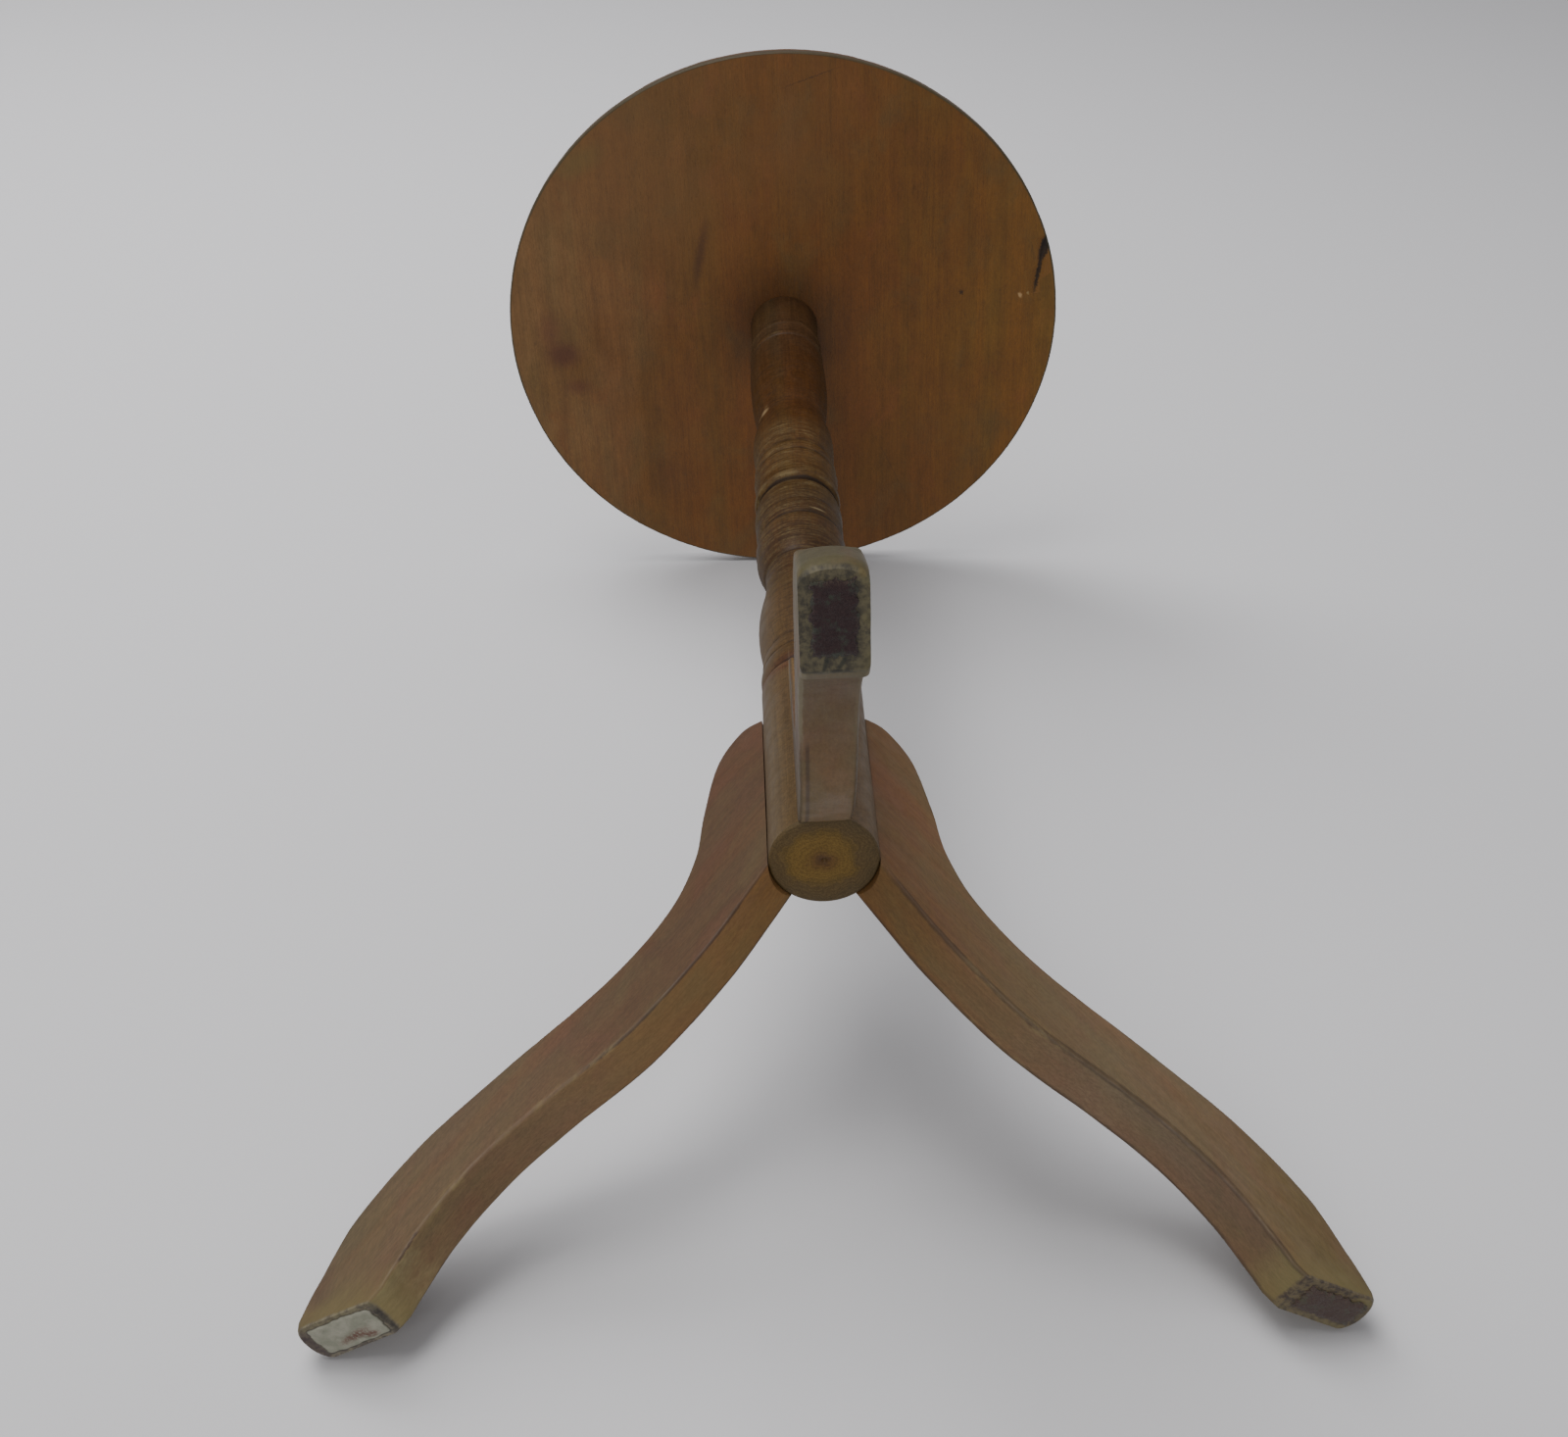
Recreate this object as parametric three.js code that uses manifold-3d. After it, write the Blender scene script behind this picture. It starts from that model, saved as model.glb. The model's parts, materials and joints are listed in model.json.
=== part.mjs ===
// Pedestal table: a round top on a turned column with three S-curved legs.
// Millimetres, +Z up. The column is built on the Z axis with the feet's wood at z = 0,
// and the whole group is moved at the end so that the origin is the middle of the base.
import * as THREE from 'three';
import { mergeVertices } from 'three/addons/utils/BufferGeometryUtils.js';
import Module from 'manifold-3d';

const wasm = await Module();
wasm.setup();

// ---- driving dimensions -------------------------------------------------------------

const GLUE_GAP = 0.3;

const TOP_DIAMETER = 305;
const TOP_THICKNESS = 12.5;
const TOP_EDGE_FLAT = 3.5;
const TOP_ROUND_OVER = 9;
const TOP_EASE = 0.6;
const TOP_UNDERSIDE = 587.5;
const TOP_SIDES = 80;
const ROUND_OVER_STEPS = 6;

const COLUMN_BOTTOM = 131;
const COLUMN_SIDES = 32;
const BARREL_RADIUS = 20.7;
const TENON_RADIUS = 9.5;
const TENON_LENGTH = 8;

const LEG_THICKNESS = 18.4;
const LEG_EASE = 1.2;
const LEG_CURVE_STEPS = 32;
const LEG_AZIMUTHS = { front: -90, right: 31, left: 152.7 };

const DOWEL_RADIUS = 4;
const DOWEL_CHAMFER = 1;
const DOWEL_REACH = [7.5, 35];
const DOWEL_HEIGHTS = { upper: 195, lower: 155 };
const DOWEL_SIDES = 16;

// How far a cutter runs out of the face that it opens, and the tolerance that joins corners.
const OVERRUN = 2;
const WELD = 1e-4;

const PAD_THICKNESS = 1.2;
const FELT_PAD = { length: 24, width: 12, radius: 194.5 };
const PAD_REMNANT = { length: 26, width: 15, radius: 192.5 };

// Stations of the turned column: height above its foot, radius, and how far the arc
// from the station before bulges out (or, when negative, hollows in).
const COLUMN_STATIONS = [
  [0, 19.7, 0],
  [1, BARREL_RADIUS, 0.3],
  // barrel that carries the legs
  [104, BARREL_RADIUS, 0],
  // groove, bead and half bead
  [106, 19, -0.2],
  [107.5, 19.6, 0],
  [117.5, 19.8, 0.9],
  [118.7, 19.2, 0],
  [125, 19.4, 0.5],
  [126.2, 19, 0],
  // vase, with its hollow neck
  [168, 19, 1.9],
  [193.5, 16.8, -0.9],
  // drooping ring above the vase
  [195, 17.7, 0],
  [207, 20.4, 0.6],
  [208, 20, 0],
  [219.5, 20, 0.7],
  [222, 18.8, -0.2],
  [224.5, 19.5, 0],
  // ring between the two deep grooves
  [232.5, 20.2, 0.3],
  [233.3, 19.8, 0],
  [250.5, 19.3, 0.9],
  [252.5, 17.6, -0.2],
  [255, 17.8, 0],
  // banded ring
  [256.5, 20, 0.2],
  [260, 20.3, 0.2],
  [276, 20, -0.5],
  [280, 19.6, 0.4],
  [282, 19.3, -0.2],
  [288, 19.5, 0.5],
  [291.5, 18.6, -0.3],
  // upper ring and the waist above it
  [322, 19.2, 1],
  [334, 17.2, -0.4],
  [341, 17.7, -0.2],
  // long swell under the neck
  [407, 19.2, 1.4],
  [408.3, 18.7, 0],
  // two fine beads and the neck
  [412.5, 19, 0.7],
  [413.5, 18.6, 0],
  [422, 18.7, -0.2],
  [426, 18.7, 0.6],
  [427.5, 18.2, 0],
];
const NECK_RADIUS = 18.5;
const ARC_STEPS = 2;
const LONG_ARC = 10;

// Outer (upper) and inner (lower) edge of a leg: distance from the column's axis, height.
const LEG_OUTER = [
  [17, 221], [28.4, 219.4], [39.8, 204.8], [46.2, 178], [50.2, 152.8],
  [62.2, 129.2], [88.2, 106.3], [131.2, 83.7], [164.6, 64.2], [189, 41.6], [204.4, 19], [210.8, 4],
];
const LEG_TOE = [[210.6, 1.2], [209.4, 0]];
const LEG_HEEL = [178.2, 0];
const LEG_INNER = [
  [172.8, 4.2], [167.6, 12.4], [156, 28], [137, 44.8], [112.4, 58.6], [77, 75],
  [46.6, 99.6], [28.8, 119.4], [16, 134.6],
];

const TOP_WOOD = { color: 0x6e4420, roughness: 0.42, metalness: 0 };
const TURNED_WOOD = { color: 0x6b452a, roughness: 0.38, metalness: 0 };
const LEG_WOOD = { color: 0x7a5438, roughness: 0.45, metalness: 0 };
const DOWEL_WOOD = { color: 0xc49a66, roughness: 0.7, metalness: 0 };
const FELT = { color: 0x3a2426, roughness: 1, metalness: 0 };
const REMNANT = { color: 0xc9c6b8, roughness: 0.9, metalness: 0 };

// ---- solids -------------------------------------------------------------------------

function toSolid(geometry) {
  const bare = geometry.clone();
  bare.deleteAttribute('normal');
  bare.deleteAttribute('uv');
  const merged = mergeVertices(bare, WELD);
  return new wasm.Manifold(new wasm.Mesh({
    numProp: 3,
    vertProperties: new Float32Array(merged.attributes.position.array),
    triVerts: new Uint32Array(merged.index.array),
  }));
}

function toGeometry(solid) {
  const mesh = solid.getMesh();
  const geometry = new THREE.BufferGeometry();
  geometry.setAttribute('position', new THREE.BufferAttribute(mesh.vertProperties, 3));
  geometry.setIndex(new THREE.BufferAttribute(mesh.triVerts, 1));
  geometry.computeVertexNormals();
  return geometry;
}

function cut(geometry, cutters) {
  const body = toSolid(geometry);
  return toGeometry(cutters.reduce((solid, cutter) => solid.subtract(toSolid(cutter)), body));
}

// A lathe about Z from [height, radius] points that start and end on the axis.
function latheZ(points, sides) {
  const profile = points.map(([height, radius]) => new THREE.Vector2(radius, height));
  return new THREE.LatheGeometry(profile, sides).rotateX(Math.PI / 2);
}

// Points on the shallow arc from a to b, a left out, whose middle stands `bulge` off the chord.
function arcPoints(a, b, bulge, steps) {
  if (bulge === 0) return [b];
  const chord = Math.hypot(b[0] - a[0], b[1] - a[1]);
  const points = [];
  for (let i = 1; i <= steps; i += 1) {
    const along = i / steps;
    const lift = bulge * (1 - (2 * along - 1) ** 2);
    points.push([
      a[0] + (b[0] - a[0]) * along - lift * (b[1] - a[1]) / chord,
      a[1] + (b[1] - a[1]) * along + lift * (b[0] - a[0]) / chord,
    ]);
  }
  return points;
}

// ---- top ----------------------------------------------------------------------------

function topGeometry() {
  const radius = TOP_DIAMETER / 2;
  const rise = TOP_THICKNESS - TOP_EDGE_FLAT;
  const points = [[0, 0], [0, radius - TOP_EASE], [TOP_EASE, radius], [TOP_EDGE_FLAT, radius]];
  for (let i = 1; i <= ROUND_OVER_STEPS; i += 1) {
    const turn = (i / ROUND_OVER_STEPS) * (Math.PI / 2);
    const inset = TOP_ROUND_OVER * (1 - Math.cos(turn));
    points.push([TOP_EDGE_FLAT + rise * Math.sin(turn), radius - inset]);
  }
  points.push([TOP_THICKNESS, 0]);
  const depth = TENON_LENGTH + GLUE_GAP;
  const socketRadius = TENON_RADIUS + GLUE_GAP;
  const socket = latheZ([
    [-OVERRUN, 0], [-OVERRUN, socketRadius], [depth, socketRadius], [depth, 0],
  ], COLUMN_SIDES);
  return cut(latheZ(points, TOP_SIDES), [socket]);
}

// ---- column -------------------------------------------------------------------------

function columnGeometry() {
  const shoulder = TOP_UNDERSIDE - GLUE_GAP - COLUMN_BOTTOM;
  const points = [[0, 0], [0, COLUMN_STATIONS[0][1]]];
  COLUMN_STATIONS.slice(1).forEach(([height, radius, bulge], i) => {
    const before = COLUMN_STATIONS[i];
    const steps = height - before[0] > LONG_ARC ? 2 * ARC_STEPS : ARC_STEPS;
    points.push(...arcPoints([before[0], before[1]], [height, radius], bulge, steps));
  });
  points.push([shoulder, NECK_RADIUS], [shoulder, TENON_RADIUS]);
  points.push([shoulder + TENON_LENGTH, TENON_RADIUS], [shoulder + TENON_LENGTH, 0]);
  const holes = [];
  for (const azimuth of Object.values(LEG_AZIMUTHS)) {
    for (const height of Object.values(DOWEL_HEIGHTS)) {
      const hole = radialHole(DOWEL_REACH[0] - GLUE_GAP, BARREL_RADIUS + OVERRUN);
      hole.translate(0, 0, height - COLUMN_BOTTOM);
      holes.push(hole.rotateZ(THREE.MathUtils.degToRad(azimuth)));
    }
  }
  return cut(latheZ(points, COLUMN_SIDES), holes);
}

// ---- dowels -------------------------------------------------------------------------

// A plain round cutter along +X between two distances from the axis.
function radialHole(from, to) {
  const hole = new THREE.CylinderGeometry(
    DOWEL_RADIUS + GLUE_GAP, DOWEL_RADIUS + GLUE_GAP, to - from, DOWEL_SIDES,
  );
  return hole.rotateZ(Math.PI / 2).translate((from + to) / 2, 0, 0);
}

function dowelGeometry() {
  const [from, to] = DOWEL_REACH;
  const dowel = latheZ([
    [from, 0], [from, DOWEL_RADIUS - DOWEL_CHAMFER], [from + DOWEL_CHAMFER, DOWEL_RADIUS],
    [to - DOWEL_CHAMFER, DOWEL_RADIUS], [to, DOWEL_RADIUS - DOWEL_CHAMFER], [to, 0],
  ], DOWEL_SIDES);
  return dowel.rotateY(Math.PI / 2);
}

// ---- legs ---------------------------------------------------------------------------

function smoothLine(points, steps) {
  const curve = new THREE.SplineCurve(points.map(([x, y]) => new THREE.Vector2(x, y)));
  return curve.getSpacedPoints(steps);
}

// A leg that points along +X: the sawn outline, its eased edges, the hollow that fits
// the barrel, and the two blind dowel holes.
function legGeometry() {
  const outline = new THREE.Shape([
    ...smoothLine(LEG_OUTER, LEG_CURVE_STEPS),
    ...LEG_TOE.map(([x, y]) => new THREE.Vector2(x, y)),
    new THREE.Vector2(...LEG_HEEL),
    ...smoothLine(LEG_INNER, LEG_CURVE_STEPS),
  ]);
  const blank = new THREE.ExtrudeGeometry(outline, {
    depth: LEG_THICKNESS - 2 * LEG_EASE,
    bevelThickness: LEG_EASE,
    bevelSize: LEG_EASE,
    bevelOffset: -LEG_EASE,
    bevelSegments: 1,
    curveSegments: 1,
  });
  blank.translate(0, 0, LEG_EASE - LEG_THICKNESS / 2).rotateX(Math.PI / 2);
  const barrel = latheZ([
    [0, 0], [0, BARREL_RADIUS + GLUE_GAP], [TOP_UNDERSIDE, BARREL_RADIUS + GLUE_GAP], [TOP_UNDERSIDE, 0],
  ], 2 * COLUMN_SIDES);
  const holes = Object.values(DOWEL_HEIGHTS).map((height) => {
    const hole = radialHole(BARREL_RADIUS - OVERRUN, DOWEL_REACH[1] + GLUE_GAP);
    return hole.translate(0, 0, height);
  });
  return cut(blank, [barrel, ...holes]);
}

// ---- pads under the feet ------------------------------------------------------------

function padGeometry({ length, width, radius }) {
  const pad = new THREE.BoxGeometry(length, width, PAD_THICKNESS);
  return pad.translate(radius, 0, -GLUE_GAP - PAD_THICKNESS / 2);
}

// ---- assembly -----------------------------------------------------------------------

const table = new THREE.Group();

function add(parent, name, geometry, look) {
  const mesh = new THREE.Mesh(geometry, new THREE.MeshStandardMaterial(look));
  mesh.name = name;
  parent.add(mesh);
  return mesh;
}

add(table, 'table_top', topGeometry(), TOP_WOOD).position.z = TOP_UNDERSIDE;
add(table, 'column', columnGeometry(), TURNED_WOOD).position.z = COLUMN_BOTTOM;

for (const [side, azimuth] of Object.entries(LEG_AZIMUTHS)) {
  const station = new THREE.Group();
  station.rotation.z = THREE.MathUtils.degToRad(azimuth);
  add(station, `leg_${side}`, legGeometry(), LEG_WOOD);
  for (const [level, height] of Object.entries(DOWEL_HEIGHTS)) {
    add(station, `dowel_${side}_${level}`, dowelGeometry(), DOWEL_WOOD).position.z = height;
  }
  if (side === 'left') {
    add(station, 'pad_remnant_left', padGeometry(PAD_REMNANT), REMNANT);
  } else {
    add(station, `felt_pad_${side}`, padGeometry(FELT_PAD), FELT);
  }
  table.add(station);
}

// The origin is the middle of the base of the whole table's box.
table.updateMatrixWorld(true);
const box = new THREE.Box3().setFromObject(table, true);
const middle = box.getCenter(new THREE.Vector3());
table.position.set(-middle.x, -middle.y, -box.min.z);

export default table;
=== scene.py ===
"""A small round table on a turned column with three S-curved legs: fine meshes, materials, camera and light.

Metres, +Z up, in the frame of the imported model. Lengths in the tables below are millimetres, with heights
measured from the wood of the feet and distances from the axis of the column.
"""

import json
import math

import bmesh
import bpy
import numpy as np
from mathutils import Euler, Matrix, Vector, noise

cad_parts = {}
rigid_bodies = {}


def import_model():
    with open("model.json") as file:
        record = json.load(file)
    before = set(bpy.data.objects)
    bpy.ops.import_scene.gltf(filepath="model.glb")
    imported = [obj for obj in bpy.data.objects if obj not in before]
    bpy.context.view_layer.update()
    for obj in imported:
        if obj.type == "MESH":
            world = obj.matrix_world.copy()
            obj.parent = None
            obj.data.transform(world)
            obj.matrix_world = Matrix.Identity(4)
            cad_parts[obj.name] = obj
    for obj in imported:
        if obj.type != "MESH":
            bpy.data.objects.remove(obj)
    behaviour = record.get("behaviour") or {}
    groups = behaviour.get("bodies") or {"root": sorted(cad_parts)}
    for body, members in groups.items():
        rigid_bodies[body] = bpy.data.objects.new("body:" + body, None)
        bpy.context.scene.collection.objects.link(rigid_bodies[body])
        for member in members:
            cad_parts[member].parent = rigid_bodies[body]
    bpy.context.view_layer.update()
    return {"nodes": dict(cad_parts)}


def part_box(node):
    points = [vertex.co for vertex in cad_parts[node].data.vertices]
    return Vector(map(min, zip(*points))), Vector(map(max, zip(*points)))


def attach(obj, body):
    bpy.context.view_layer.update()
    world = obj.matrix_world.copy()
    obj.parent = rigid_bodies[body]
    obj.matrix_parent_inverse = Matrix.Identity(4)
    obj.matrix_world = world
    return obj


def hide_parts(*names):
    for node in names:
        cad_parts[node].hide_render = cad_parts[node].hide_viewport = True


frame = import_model()

MM = 0.001

# ---- sizes, as in the CAD ----

GLUE_GAP = 0.3
TOP_RADIUS = 152.5
TOP_THICKNESS = 12.5
TOP_EDGE_FLAT = 3.5
TOP_ROUND_OVER = 9
TOP_EASE = 0.6
TOP_UNDERSIDE = 587.5
COLUMN_BOTTOM = 131
BARREL_RADIUS = 20.7
NECK_RADIUS = 18.5
TENON_RADIUS = 9.5
TENON_LENGTH = 8
LEG_THICKNESS = 18.4
LEG_AZIMUTHS = {"front": -90, "right": 31, "left": 152.7}
DOWEL_RADIUS = 4
DOWEL_REACH = (7.5, 35)
DOWEL_HEIGHTS = (195, 155)
PAD_THICKNESS = 1.2
FELT_PAD = {"length": 24, "width": 12, "radius": 194.5}
PAD_REMNANT = {"length": 26, "width": 15, "radius": 192.5}

# Stations of the turned column: height above its foot, radius, bulge of the arc from the one before.
COLUMN_STATIONS = (
    (0, 19.7, 0), (1, 20.7, 0.3), (104, 20.7, 0), (106, 19, -0.2), (107.5, 19.6, 0), (117.5, 19.8, 0.9),
    (118.7, 19.2, 0), (125, 19.4, 0.5), (126.2, 19, 0), (168, 19, 1.9), (193.5, 16.8, -0.9), (195, 17.7, 0),
    (207, 20.4, 0.6), (208, 20, 0), (219.5, 20, 0.7), (222, 18.8, -0.2), (224.5, 19.5, 0), (232.5, 20.2, 0.3),
    (233.3, 19.8, 0), (250.5, 19.3, 0.9), (252.5, 17.6, -0.2), (255, 17.8, 0), (256.5, 20, 0.2),
    (260, 20.3, 0.2), (276, 20, -0.5), (280, 19.6, 0.4), (282, 19.3, -0.2), (288, 19.5, 0.5),
    (291.5, 18.6, -0.3), (322, 19.2, 1), (334, 17.2, -0.4), (341, 17.7, -0.2), (407, 19.2, 1.4),
    (408.3, 18.7, 0), (412.5, 19, 0.7), (413.5, 18.6, 0), (422, 18.7, -0.2), (426, 18.7, 0.6),
    (427.5, 18.2, 0),
)

# Outer and inner edge of a leg, from the column to the foot: distance from the axis, height.
LEG_OUTER = (
    (17, 221), (28.4, 219.4), (39.8, 204.8), (46.2, 178), (50.2, 152.8), (62.2, 129.2), (88.2, 106.3),
    (131.2, 83.7), (164.6, 64.2), (189, 41.6), (204.4, 19), (210.8, 4),
)
LEG_INNER = (
    (16, 134.6), (28.8, 119.4), (46.6, 99.6), (77, 75), (112.4, 58.6), (137, 44.8), (156, 28),
    (167.6, 12.4), (172.8, 4.2),
)
LEG_TOE = ((210.6, 1.2), (209.4, 0))
LEG_HEEL = ((176.4, 1.2), (178.2, 0))
# How a leg's corners are rubbed, its faces wave, its end lies round the column and its toe is rounded.
LEG_CORNER = 1.5
LEG_CORNER_DRIFT = 0.55
SAWN_WAVE = 0.16
HOLLOWED_SECTIONS = 8
HOLLOW_STEP = 0.25
TOE_START = 192
TOE_RUN = 12
TOE_ROUND = 3.4

# A gouge in the underside near the rim, from its narrow end: place and radius of the cut.
GOUGE = ((139.6, -14, 0.1), (140.6, -20, 0.7), (141.8, -28, 1.1), (143, -35, 1.7), (144.4, -41, 2.5),
         (145.6, -46, 2.3), (146.2, -48.5, 0.3))
# A dent in the neck: azimuth, height, reach from the axis, radius of the cut.
DENT = ((-160, 466.2, 20, 0.2), (-154, 466, 19.9, 1.7), (-144, 465.8, 19.9, 2.1), (-138, 468.6, 20, 1.7),
        (-134, 470.4, 20, 0.2))

# ---- resolution of the fine meshes ----

TOP_SIDES = 256
ROUND_OVER_STEPS = 12
COLUMN_SIDES = 112
LEG_SECTIONS = 150
LEG_SPANS = {"width": 12, "thickness": 7}
SPLINE_STEPS = 60
DOWEL_SIDES = 32
PAD_ROWS = 56
PAD_CELLS = 34
FINE_STEP = 2.4
EDGE_HOLD = 0.25

column_low, column_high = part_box("column")
AXIS = Vector(((column_low.x + column_high.x) / 2, (column_low.y + column_high.y) / 2, 0))
FEET = column_low.z - COLUMN_BOTTOM * MM


def place(x, y, z):
    """A point given in millimetres from the column's axis and the wood of the feet, in the model's frame."""
    return (AXIS.x + x * MM, AXIS.y + y * MM, FEET + z * MM)


# ---- mesh helpers ----


def piece(name, points, faces, creases=38, **stored):
    """A closed mesh from points in millimetres, with a number or a vector stored at each for its material."""
    mesh = bpy.data.meshes.new(name)
    mesh.from_pydata([place(*p) for p in points], [], faces)
    for key, values in stored.items():
        values = np.asarray(values, dtype=np.float32)
        kind, field = ("FLOAT", "value") if values.ndim == 1 else ("FLOAT_VECTOR", "vector")
        mesh.attributes.new(key, kind, "POINT").data.foreach_set(field, values.ravel())
    mesh.validate()
    shape = bmesh.new()
    shape.from_mesh(mesh)
    bmesh.ops.recalc_face_normals(shape, faces=shape.faces)
    shape.to_mesh(mesh)
    shape.free()
    mesh.shade_smooth()
    mesh.set_sharp_from_angle(angle=math.radians(creases))
    return placed(name, mesh)


def placed(name, data):
    """A new object in the scene."""
    item = bpy.data.objects.new(name, data)
    bpy.context.scene.collection.objects.link(item)
    return item


def wobble(seed, *place_in_mm, scale=1.0):
    """Smooth noise from -1 to 1, about one wave in each 1/scale millimetres."""
    return noise.noise(Vector(place_in_mm) * scale + Vector((seed * 17.3, seed * 5.1, seed * 9.7)))


def arc(a, b, bulge, steps):
    """Points on the shallow arc from a to b, a left out, whose middle stands bulge off the chord."""
    if bulge == 0:
        return [b]
    chord = math.dist(a, b)
    points = []
    for i in range(1, steps + 1):
        t = i / steps
        lift = bulge * (1 - (2 * t - 1) ** 2)
        points.append((a[0] + (b[0] - a[0]) * t - lift * (b[1] - a[1]) / chord,
                       a[1] + (b[1] - a[1]) * t + lift * (b[0] - a[0]) / chord))
    return points


def run_along(path):
    """How far along a path each of its points is."""
    return np.concatenate([[0], np.cumsum(np.linalg.norm(np.diff(path, axis=0), axis=1))])


def points_at(path, stops):
    """The points that lie at some distances along a path."""
    run = run_along(path)
    return np.stack([np.interp(stops, run, path[:, 0]), np.interp(stops, run, path[:, 1])], axis=1)


def refine(path, step=FINE_STEP, hold=EDGE_HOLD):
    """Evenly spaced points along a path, its start left out, with a close pair next to each end.

    The close points make the corner between two paths shade as a slightly worn edge.
    """
    path = np.array(path)
    length = run_along(path)[-1]
    stops = [length]
    if length > 4 * hold:
        count = max(2, math.ceil((length - 2 * hold) / step) + 1)
        stops = [*np.linspace(hold, length - hold, count), length]
    return [tuple(point) for point in points_at(path, stops)]


def grid_outline(rows, cells):
    """The places round a grid of rows and cells, in order."""
    return ([(a, cells) for a in range(rows)] + [(rows, b) for b in range(cells, 0, -1)]
            + [(a, 0) for a in range(rows, 0, -1)] + [(0, b) for b in range(cells)])


def ring_quads(low, high):
    """Quads between two rings of equally many points."""
    after = [(k + 1) % len(low) for k in range(len(low))]
    return [(low[k], low[m], high[m], high[k]) for k, m in enumerate(after)]


def revolve(profile, sides, out_of_round=0.0, seed=0):
    """Points and faces of a body turned about the axis; the profile starts and ends on it."""
    rings = profile[1:-1]
    points = [(0, 0, profile[0][0]), (0, 0, profile[-1][0])]
    for height, radius in rings:
        for side in range(sides):
            turn = 2 * math.pi * side / sides
            x, y = math.cos(turn), math.sin(turn)
            r = radius + out_of_round * wobble(seed, 14 * x, 14 * y, height, scale=0.05)
            points.append((r * x, r * y, height))
    first, last = 2, 2 + (len(rings) - 1) * sides
    faces = [(0, first + (i + 1) % sides, first + i) for i in range(sides)]
    for a in range(first, last, sides):
        faces += ring_quads(range(a, a + sides), range(a + sides, a + 2 * sides))
    faces += [(1, last + i, last + (i + 1) % sides) for i in range(sides)]
    return points, faces


def carve(item, shapes):
    """Cuts closed shapes, each given as points in millimetres and faces, out of a piece."""
    cutters = bpy.data.collections.new(item.name + "_cutters")
    for points, faces in shapes:
        cutter = piece("cutter", points, faces)
        bpy.context.scene.collection.objects.unlink(cutter)
        cutters.objects.link(cutter)
    step = item.modifiers.new("cuts", "BOOLEAN")
    step.operation = "DIFFERENCE"
    step.operand_type = "COLLECTION"
    step.collection = cutters
    step.solver = "EXACT"
    bpy.context.scene.collection.children.link(cutters)
    graph = bpy.context.evaluated_depsgraph_get()
    cut = bpy.data.meshes.new_from_object(item.evaluated_get(graph))
    item.modifiers.clear()
    item.data = cut
    for cutter in list(cutters.objects):
        bpy.data.objects.remove(cutter)
    bpy.data.collections.remove(cutters)


def dowel_hole(azimuth, height, near, far):
    """A plain round blind hole that runs radially, from near to far."""
    radius = DOWEL_RADIUS + GLUE_GAP
    points, faces = revolve([(near, 0), (near, radius), (far, radius), (far, 0)], DOWEL_SIDES)
    turn = Matrix.Rotation(math.radians(azimuth), 3, "Z") @ Matrix.Rotation(math.pi / 2, 3, "Y")
    return [tuple(turn @ Vector(p) + Vector((0, 0, height))) for p in points], faces


def spindle(path, radii, sides=14, steps=6):
    """A slim body along a path of points, pointed at both ends and rounded between, to cut a gouge with."""
    path = [Vector(p) for p in path]
    middles, sizes = [], []
    for i in range(len(path) - 1):
        for k in range(steps + (i == len(path) - 2)):
            t = k / steps
            middles.append(path[i].lerp(path[i + 1], t))
            sizes.append(max(radii[i] + (radii[i + 1] - radii[i]) * t, 0.02))
    points = []
    befores, afters = [middles[0], *middles], [*middles[1:], middles[-1]]
    for middle, size, before, after in zip(middles, sizes, befores, afters):
        along = (after - before).normalized()
        first = along.orthogonal().normalized()
        second = along.cross(first)
        for side in range(sides):
            turn = 2 * math.pi * side / sides
            points.append(tuple(middle + (first * math.cos(turn) + second * math.sin(turn)) * size))
    faces = [tuple(range(sides - 1, -1, -1)), tuple(range(len(points) - sides, len(points)))]
    for a in range(0, len(points) - sides, sides):
        faces += ring_quads(range(a, a + sides), range(a + sides, a + 2 * sides))
    return points, faces


# ---- the wooden pieces ----


def make_top():
    """The round board: flat underside with the blind socket, small flat edge and rounded-over face."""
    rise = TOP_THICKNESS - TOP_EDGE_FLAT
    depth = TENON_LENGTH + GLUE_GAP
    socket = TENON_RADIUS + GLUE_GAP
    profile = [(depth, 0), (depth, socket), (0, socket), (0, TOP_RADIUS - TOP_EASE),
               (TOP_EASE, TOP_RADIUS), (TOP_EDGE_FLAT, TOP_RADIUS)]
    for i in range(1, ROUND_OVER_STEPS + 1):
        turn = math.pi / 2 * i / ROUND_OVER_STEPS
        profile.append((TOP_EDGE_FLAT + rise * math.sin(turn),
                        TOP_RADIUS - TOP_ROUND_OVER * (1 - math.cos(turn))))
    profile.append((TOP_THICKNESS, 0))
    full = profile[:3] + refine(profile[2:4], 8) + profile[4:-1] + refine(profile[-2:], 12)
    points, faces = revolve([(TOP_UNDERSIDE + z, r) for z, r in full], TOP_SIDES)
    points = [worn_rim(*p) for p in points]
    item = piece("top_board", points, faces, grain=[(y, x, z - TOP_UNDERSIDE) for x, y, z in points])
    carve(item, [spindle([(x, y, TOP_UNDERSIDE - 0.55 * r) for x, y, r in GOUGE], [r for _, _, r in GOUGE])])
    return item


def worn_rim(x, y, z):
    """Small dents round the rim, so that it is not a perfect circle."""
    reach = math.hypot(x, y)
    if reach < TOP_RADIUS - TOP_ROUND_OVER:
        return x, y, z
    dent = 0.22 * wobble(3, x, y, z, scale=0.045) + 0.12 * wobble(4, x, y, z, scale=0.2)
    keep = 1 - max(dent, -0.1) / reach
    return x * keep, y * keep, z


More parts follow.
